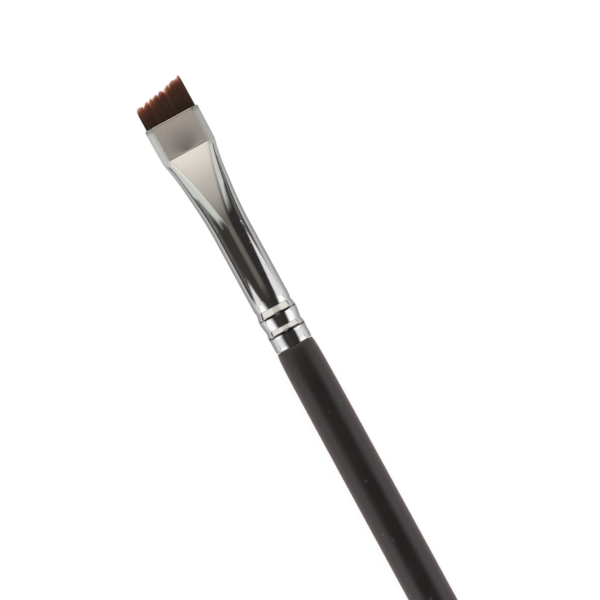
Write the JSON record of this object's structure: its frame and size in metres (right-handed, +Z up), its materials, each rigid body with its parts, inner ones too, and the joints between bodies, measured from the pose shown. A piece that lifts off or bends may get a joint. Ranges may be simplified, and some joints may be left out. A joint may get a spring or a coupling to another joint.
{
  "type": "angled brow brush",
  "caption": "Flat brow brush with a short, stiff tuft cut at a slant, a pressed and crimped chrome ferrule, and a slim matt black handle.",
  "frame": {"origin": "middle of the bounding box seen from above, on the surface that the brush lies on", "axes": "+X runs along the brush to its bristle tip, +Y runs across it to the side with the shorter bristles, and +Z is up, square to the flattened ferrule faces"},
  "size_m": [0.1754, 0.0092, 0.0067],
  "materials": {
    "black_lacquer": "satin",
    "chrome": "polished",
    "brown_filament": "satin",
    "root_glue": "gloss",
    "tenon_glue": "gloss"
  },
  "bodies": {
    "root": {"handle": "black_lacquer", "ferrule": "chrome", "bristle_tuft": "brown_filament", "root_glue": "root_glue", "tenon_glue": "tenon_glue"}
  },
  "joints": []
}
